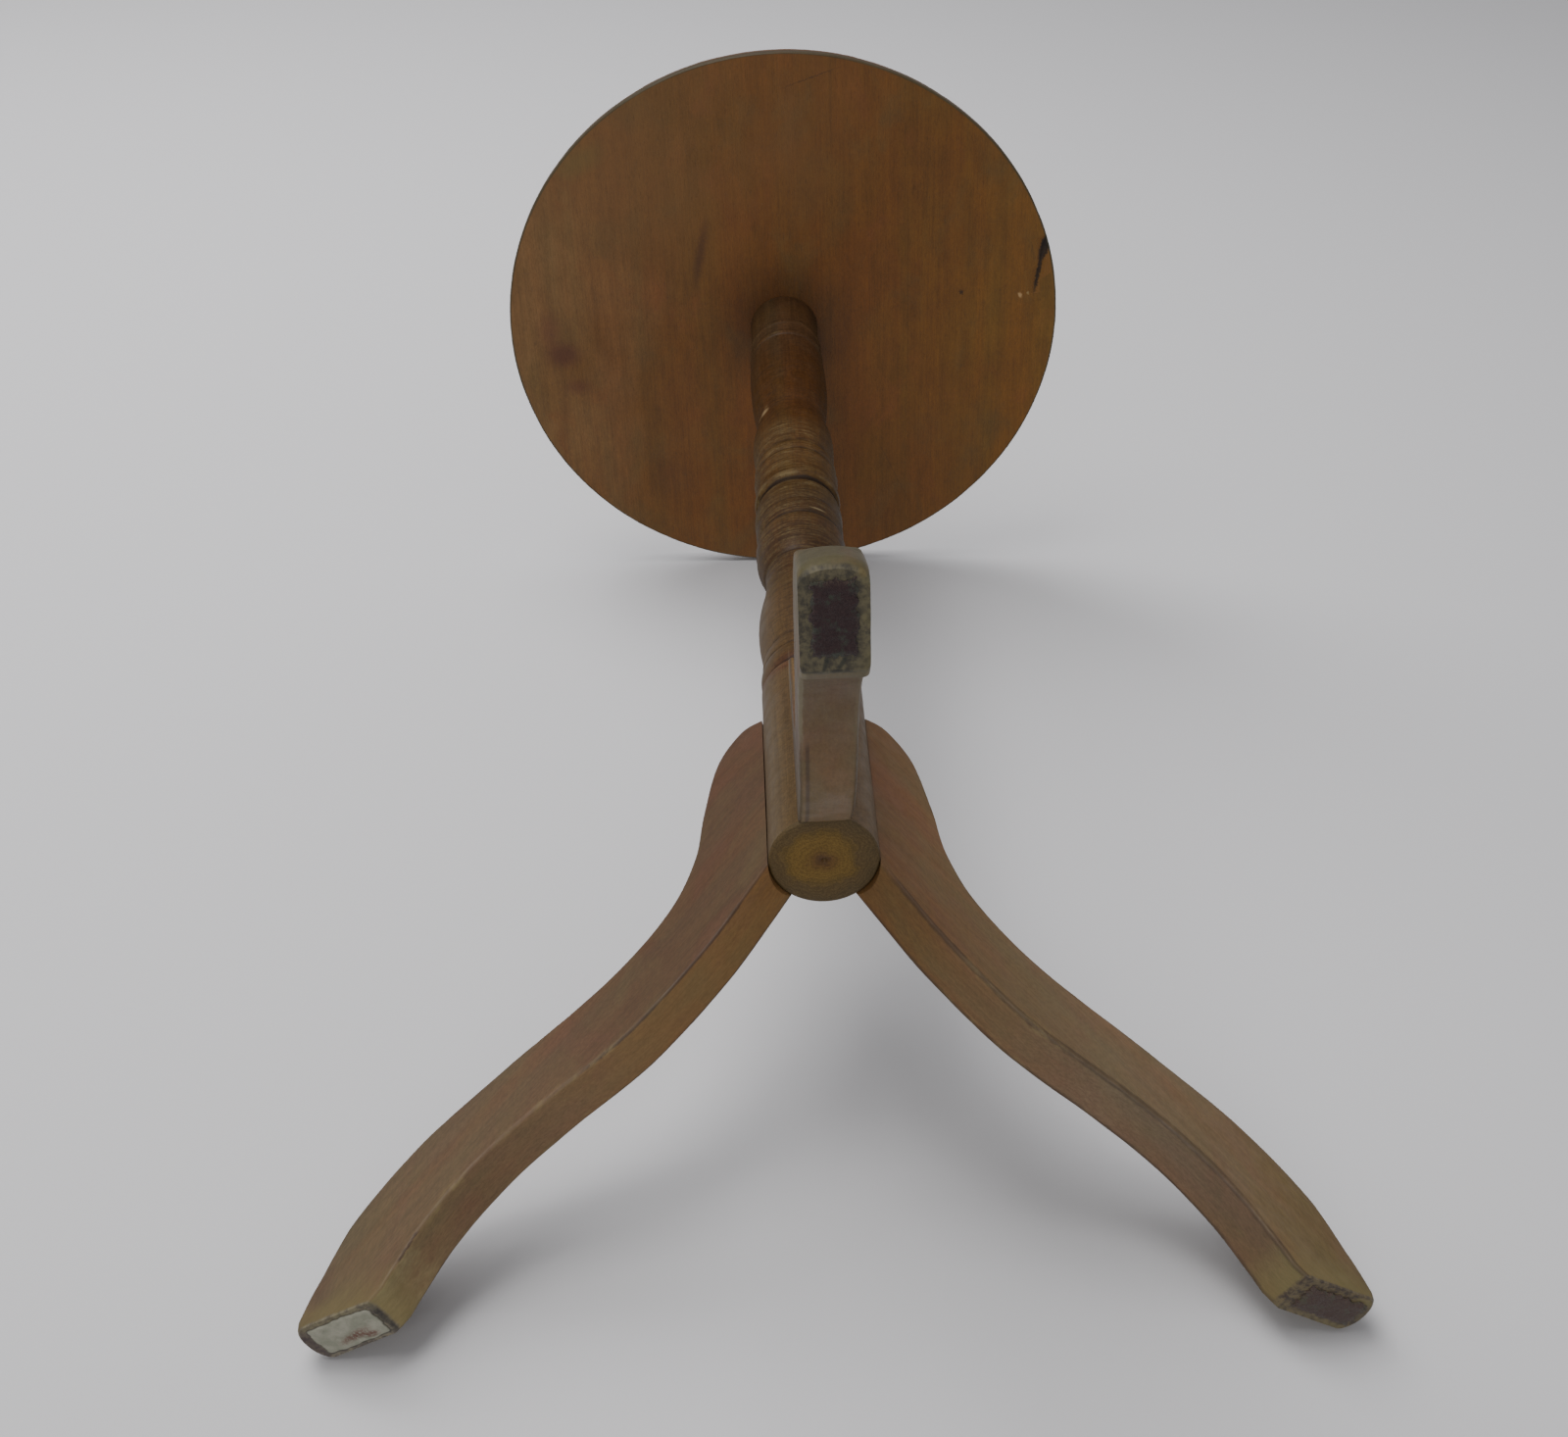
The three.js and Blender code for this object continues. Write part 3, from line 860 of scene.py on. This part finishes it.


# How each leg looks: tones of its faces and its edges by distance from the axis, how far its foot has faded,
# the heights of a split near the foot, the sole's two tones, and from where to where and how broadly painted
# shade darkens the crease of its lower arrises, and the same for where they are rubbed pale.
LEG_LOOKS = {
    "front": {
        "face": ((20, (82, 64, 46)), (130, (88, 70, 50)), (175, (98, 78, 52)), (205, (84, 72, 46))),
        "edge": ((20, (118, 88, 52)), (70, (107, 80, 47)), (110, (96, 75, 48)), (150, (88, 71, 47)),
                 (178, (88, 76, 49)), (192, (76, 67, 41)), (205, (68, 61, 38))),
        "foot": 0.12, "split": (0, 0), "sole": ((54, 49, 40), (86, 79, 59)),
        "arris_shade": (0, 0, 1), "rubbed": (170, 212, 0.5),
    },
    "right": {
        "face": ((20, (99, 68, 39)), (35, (98, 68, 39)), (70, (101, 79, 51)), (110, (108, 86, 60)),
                 (150, (107, 84, 58)), (178, (105, 81, 51)), (194, (98, 79, 46)), (205, (92, 75, 43))),
        "edge": ((20, (101, 73, 41)), (35, (101, 74, 43)), (70, (100, 77, 53)), (110, (102, 85, 66)),
                 (148, (95, 74, 56)), (165, (88, 69, 50)), (176, (95, 82, 56))),
        "foot": 0.42, "split": (0, 0), "sole": ((58, 48, 42), (98, 86, 62)),
        "arris_shade": (30, 186, 2.4), "rubbed": (58, 82, 3.4),
    },
    "left": {
        "face": ((20, (80, 56, 36)), (70, (80, 56, 37)), (110, (90, 66, 46)), (150, (93, 71, 51)),
                 (178, (95, 74, 52)), (194, (90, 73, 52)), (205, (82, 68, 50))),
        "edge": ((20, (116, 82, 47)), (35, (115, 83, 48)), (70, (115, 84, 50)), (110, (107, 82, 57)),
                 (148, (98, 75, 53)), (163, (103, 84, 58)), (176, (122, 110, 78))),
        "foot": 0.45, "split": (14, 22), "sole": ((74, 66, 62), (116, 108, 90)),
        "arris_shade": (36, 88, 1.4), "rubbed": (88, 150, 2.4),
    },
}


def leg_material(side):
    look = LEG_LOOKS[side]
    s = Shader(f"leg_wood_{side}")
    grain = s.attribute("grain", "Vector")
    within = s.attribute("within", "Vector")
    reach, across, ridge = s.split(within)
    up = s.split(s.position())[2]
    layers = grain_layers(s, grain, 1.2)
    rub = s.noise(grain, (0.09, 0.12, 0.12), 5, 0.6)
    scrape = s.noise(grain, (0.12, 0.7, 0.7), 5, 0.7)
    another_stretch = (10 * list(LEG_AZIMUTHS).index(side), 0, 0)
    patch = s.noise(s.scaled(within, (0.045, 0.06, 0.04), another_stretch), 1, 4, 0.6, 0.6)
    speck = s.noise(within, (0.7, 0.9, 0.7), 3, 0.7)
    drift = s.ragged(reach, rub, 5)
    flat = s.step(s.math("ABSOLUTE", across), 7.9, 8.8)
    colour = s.blend(flat, s.ramp(drift, look["edge"]), s.ramp(drift, look["face"]))
    colour = timber(s, colour, layers, 0.4, 0.3)
    colour = s.over(colour, (94, 84, 52), s.step(patch, 0.42, 0.74, 0, 0.3))
    colour = s.over(colour, (106, 68, 54), s.step(patch, 0.3, 0.5, 0.18, 0))
    colour = s.shaded(colour, s.step(speck, 0.3, 0.7, 0.9, 1.1))
    foot = s.step(s.ragged(up, rub, 3), 1, 15, 1, 0)
    colour = s.over(colour, (108, 98, 58), foot, look["foot"])
    colour = lower_arrises(s, look, reach, up, ridge, rub, scrape, colour)
    if side == "front":
        colour = front_arrises(s, reach, across, ridge, scrape, colour)
    colour = sole(s, side, reach, across, up, rub, colour)
    roughness = s.step(rub, 0.3, 0.7, 0.46, 0.62)
    height = s.math("ADD", s.both(layers["fibre"], 0.5), s.both(rub, 0.4))
    return s.finish(colour, roughness, height, 0.00014, specular=0.35)


def lower_arrises(s, look, reach, up, ridge, rub, scrape, colour):
    """Painted shade in the crease of a lower arris, bare wood where it is rubbed, and a split near the foot.
    """
    # painted shade: a dark line in the crease along the lower arris
    start, end, width = look["arris_shade"]
    thin = s.step(s.ragged(ridge, scrape, 0.3), width * 0.4, width, 1, 0)
    crease_shade = s.both(thin, s.window(reach, start, end, 14))
    colour = s.over(colour, (48, 36, 26), crease_shade, s.step(rub, 0.25, 0.55, 0.35, 0.62))
    start, end, width = look["rubbed"]
    uneven = s.math("ADD", ridge, s.step(scrape, 0.35, 0.65, 2.4, -2.4))
    bare = s.both(s.step(uneven, -1.6, width, 1, 0), s.window(reach, start, end, 16))
    colour = s.over(colour, (130, 116, 76), bare, s.step(rub, 0.4, 0.66, 0.06, 0.34))
    split = s.both(s.step(thin, 0.5, 1), s.window(reach, 150, 175, 3), s.window(up, *look["split"], 1.5))
    return s.over(colour, (50, 34, 26), split, 0.65)


def front_arrises(s, reach, across, ridge, scrape, colour):
    """The front leg's lower arrises, pale along one side with a painted highlight and wear, with a dark line
    beside it near the column.
    """
    near = s.step(s.ragged(ridge, scrape, 0.3), 1, 1.8, 1, 0)
    one_side = s.step(across, -8, -6, 1, 0.35)
    along = s.step(s.ragged(reach, scrape, 6), 96, 122, 0.12, 1)
    # painted highlight and wear: a pale line along the rounded arris on one side
    colour = s.over(colour, (126, 118, 95), near, one_side, along, 0.6)
    beside = s.both(s.window(across, -7.2, -6.3, 0.7), s.step(ridge, 1.6, 2.4))
    return s.over(colour, (54, 36, 24), beside, s.window(reach, 25, 104, 8), 0.6)


# Marks on the soles: distance from the axis, place across, half sizes, turn, strength, colour.
SOLE_MARKS = {
    "front": ((180.5, -2.5, 2.9, 0.6, -14.6, 0.85, (32, 34, 30)),
              (180.7, 1.9, 2.8, 0.6, -29.5, 0.85, (32, 34, 30)),
              (178, 0.3, 0.6, 1.6, 0, 0.8, (36, 32, 28)), (208, 7.6, 1.5, 1.3, 0, 0.35, (112, 94, 50)),
              (206.5, -8, 3, 1.6, 0, 0.5, (38, 38, 32))),
    "right": ((208, 0, 1.6, 6, 0, 0.4, (60, 56, 46)), (205.4, -7, 4, 1.4, 0, 0.5, (120, 110, 64))),
    "left": ((208, 0, 3.5, 9, 0, 0.8, (62, 48, 48)), (192, -7.2, 16, 0.7, 0, 0.8, (44, 40, 34)),
             (178, 0, 1.2, 8, 0, 0.8, (44, 40, 34))),
}


def sole(s, side, reach, across, up, rub, colour):
    """The dirty, mottled underside of a foot, a little paler at its rubbed outline."""
    dark, light = LEG_LOOKS[side]["sole"]
    place_on = s.node("CombineXYZ", {0: reach, 1: across}).outputs[0]
    mottle = s.noise(place_on, 0.42, 5, 0.7)
    paint = s.blend(s.step(mottle, 0.36, 0.62), tone(*dark), tone(*light))
    paint = s.over(paint, (108, 100, 66), s.step(across, 5.5, 8.4, 0, 0.45), s.step(rub, 0.3, 0.6))
    for r, y, half_r, half_y, turn, strength, shade in SOLE_MARKS[side]:
        mask = s.spot(place_on, (r, y, 0), (half_r, half_y, 1), 0.5, turn)
        paint = s.over(paint, shade, mask, s.step(mottle, 0.2, 0.7, strength, strength * 0.8))
    return s.blend(s.step(s.ragged(up, rub, 0.3), 0.4, 1.4, 1, 0), colour, paint)


def dowel_material():
    s = Shader("dowel_wood")
    grain = s.scaled(s.node("NewGeometry").outputs["Position"], (1 / MM, 1 / MM, 1 / MM))
    layers = grain_layers(s, grain, 1)
    base = s.ramp(layers["band"], ((0.3, (182, 138, 88)), (0.7, (204, 164, 112))))
    colour = timber(s, base, layers)
    return s.finish(colour, s.step(layers["fibre"], 0.3, 0.7, 0.6, 0.75), layers["fibre"], 0.0001)


# Dark, light and faded tones of each felt.
FELT_TONES = {
    "front": ((38, 28, 30), (65, 49, 48), (58, 62, 53)),
    "right": ((58, 45, 44), (87, 73, 66), (74, 71, 60)),
}


def felt_material(side):
    """Matted felt, faded in patches, with dried glue and dust along its outline."""
    dark, light, faded = FELT_TONES[side]
    s = Shader(f"felt_{side}")
    grain = s.attribute("grain", "Vector")
    edge = s.attribute("relief", "Fac")
    hairs = s.noise(grain, (1.6, 2.4, 2), 5, 0.75, 1.5)
    patch = s.math("ADD", s.noise(grain, 0.22, 3, 0.6), s.both(edge, 0.12))
    colour = s.blend(s.step(hairs, 0.3, 0.7), tone(*dark), tone(*light))
    colour = s.over(colour, faded, s.step(patch, 0.58, 0.72, 0, 0.85))
    colour = s.over(colour, (104, 94, 78), s.step(edge, 0.8, 1), s.step(hairs, 0.46, 0.62), 0.35)
    return s.finish(colour, 0.95, hairs, 0.0003, sheen=0.1, specular=0.12)


# Stains on the dry backing: place, half sizes, turn.
BACKING_STAINS = (((-1, -2.6, 0), (6, 1.8, 30), 12), ((-6, -4.6, 0), (3, 1.6, 30), -10))


def remnant_material():
    """Pale dry backing with crumbs, rusty stains and a dark outline."""
    s = Shader("pad_backing")
    grain = s.attribute("grain", "Vector")
    edge = s.attribute("relief", "Fac")
    crumbs = s.noise(grain, 1.1, 5, 0.7)
    patch = s.noise(grain, 0.16, 3, 0.6)
    colour = s.blend(s.step(patch, 0.35, 0.65), tone(150, 147, 133), tone(130, 130, 115))
    colour = s.over(colour, (110, 102, 86), s.step(crumbs, 0.58, 0.72, 0, 0.5))
    for centre, half, turn in BACKING_STAINS:
        stain = s.spot(grain, centre, half, 0.6, turn)
        colour = s.over(colour, (96, 58, 50), stain, s.step(crumbs, 0.3, 0.6), 0.85)
    colour = s.over(colour, (56, 50, 42), s.step(edge, 0.94, 1, 0, 0.8))
    return s.finish(colour, 0.85, crumbs, 0.0003, specular=0.2)


# ---- camera, light and stage ----


# The camera's place and its turn about X, Y and Z in degrees, its lens, and the lying floor's turn.
CAMERA_PLACE = (-17.41, -466.94, -408.66)
CAMERA_TURN = (143.45, 1.878, 1.869)
SENSOR = 36
LENS = 44.22
LYING_TURN = (85.796, 0.938, 1.798)


def turned(angles):
    """A turn about X, Y and Z, given in degrees."""
    return Euler([math.radians(angle) for angle in angles]).to_matrix()


def make_camera():
    """Below and in front of the standing table, looking up at its underside."""
    data = bpy.data.cameras.new("camera")
    data.sensor_width = SENSOR
    data.lens = LENS
    camera = placed("camera", data)
    camera.matrix_world = Matrix.LocRotScale(place(*CAMERA_PLACE), turned(CAMERA_TURN), None)
    bpy.context.scene.camera = camera


PALE = (164, 163, 165)
PALE_SPECK = (150, 150, 150)
FLOOR_REACH = 3
FLOOR_GAP = 0.0006
STAGE = bpy.data.collections.new("stage_sheets")


def stage_sheet(name, corners):
    """A pale flat board that only the camera sees, and only its front, so that it never hides the table."""
    s = Shader(name)
    speck = s.noise(s.node("NewGeometry").outputs["Position"], 400, 2, 0.5)
    front = s.node("BsdfDiffuse", {"Color": s.over(tone(*PALE), PALE_SPECK, speck, 0.04)})
    clear = s.node("BsdfTransparent")
    back = s.node("NewGeometry").outputs["Backfacing"]
    mixed = s.node("MixShader", {0: back, 1: front.outputs[0], 2: clear.outputs[0]})
    s.node("OutputMaterial", {"Surface": mixed.outputs[0]})
    mesh = bpy.data.meshes.new(name)
    mesh.from_pydata(corners, [], [(0, 1, 2, 3)])
    mesh.materials.append(s.material)
    sheet = placed(name, mesh)
    sheet.visible_diffuse = False
    sheet.visible_glossy = False
    sheet.visible_shadow = False
    STAGE.objects.link(sheet)


def make_stage():
    """The floor under the standing table, and the floor that the lying table rests on."""
    square = [Vector((a, b, 0)) * FLOOR_REACH for a, b in ((-1, -1), (1, -1), (1, 1), (-1, 1))]
    stage_sheet("ground", square)
    # The lying table touches this one with the rim of the top and the corners of two feet.
    turn = turned(LYING_TURN)
    touch = Vector(place(0, TOP_RADIUS, TOP_UNDERSIDE + 0.05)) - turn.col[2] * FLOOR_GAP
    stage_sheet("lying_floor", [touch + turn @ corner for corner in square])


def add_light(name, at, aim, size, power, colour=(1, 1, 1)):
    """A round area light at a place in metres, turned to its aim."""
    data = bpy.data.lights.new(name, "AREA")
    data.shape = "DISK"
    data.size = size
    data.energy = power
    data.color = colour
    light = placed(name, data)
    facing = (Vector(aim) - Vector(at)).to_track_quat("-Z", "Y")
    light.matrix_world = Matrix.LocRotScale(at, facing, None)
    return light


def make_light():
    world = bpy.data.worlds.new("room")
    world.use_nodes = True
    background = world.node_tree.nodes["Background"]
    background.inputs["Color"].default_value = (0.96, 0.97, 1.0, 1)
    background.inputs["Strength"].default_value = 0.52
    bpy.context.scene.world = world
    middle = place(0, 0, 300)
    warm = (1, 0.99, 0.97)
    add_light("key", (-0.7, -2.2, 0.2), middle, 1.5, 34, warm)
    add_light("fill", (-0.35, -1.3, -1.9), middle, 1.4, 20, warm)
    # two more for the floor alone, which the table still shades
    near_light = add_light("floor_light", (-0.35, -1.7, 0.85), place(0, 100, 400), 1.3, 30)
    far_light = add_light("far_light", (-1.1, -1.5, 1.8), place(-100, 150, 1700), 1.6, 50)
    for light in (near_light, far_light):
        light.light_linking.receiver_collection = STAGE


# ---- assembly ----


def keep(item, node, slot, material):
    """The piece stands for a CAD node, rides on the table's one body and takes its material."""
    item.data.materials.clear()
    item.data.materials.append(material)
    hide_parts(node)
    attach(item, "root")


make_camera()
make_stage()
make_light()

keep(make_top(), "table_top", "top_wood", top_material())
keep(make_column(), "column", "turned_wood", turned_material())
for number, leg_side in enumerate(LEG_AZIMUTHS):
    keep(make_leg(leg_side, 11 + number), f"leg_{leg_side}", "leg_wood", leg_material(leg_side))
for number, leg_side in enumerate(("front", "right")):
    pad = make_pad(f"felt_{leg_side}", leg_side, FELT_PAD, -0.02, 0.9, 1.4, 21 + 5 * number)
    keep(pad, f"felt_pad_{leg_side}", "felt", felt_material(leg_side))
remnant = make_pad("dry_backing", "left", PAD_REMNANT, -0.02, 0.5, 0.7, 41)
keep(remnant, "pad_remnant_left", "pad_backing", remnant_material())
dowel = dowel_material()
for node_name, node_object in frame["nodes"].items():
    if node_name.startswith("dowel_"):
        node_object.data.materials.clear()
        node_object.data.materials.append(dowel)
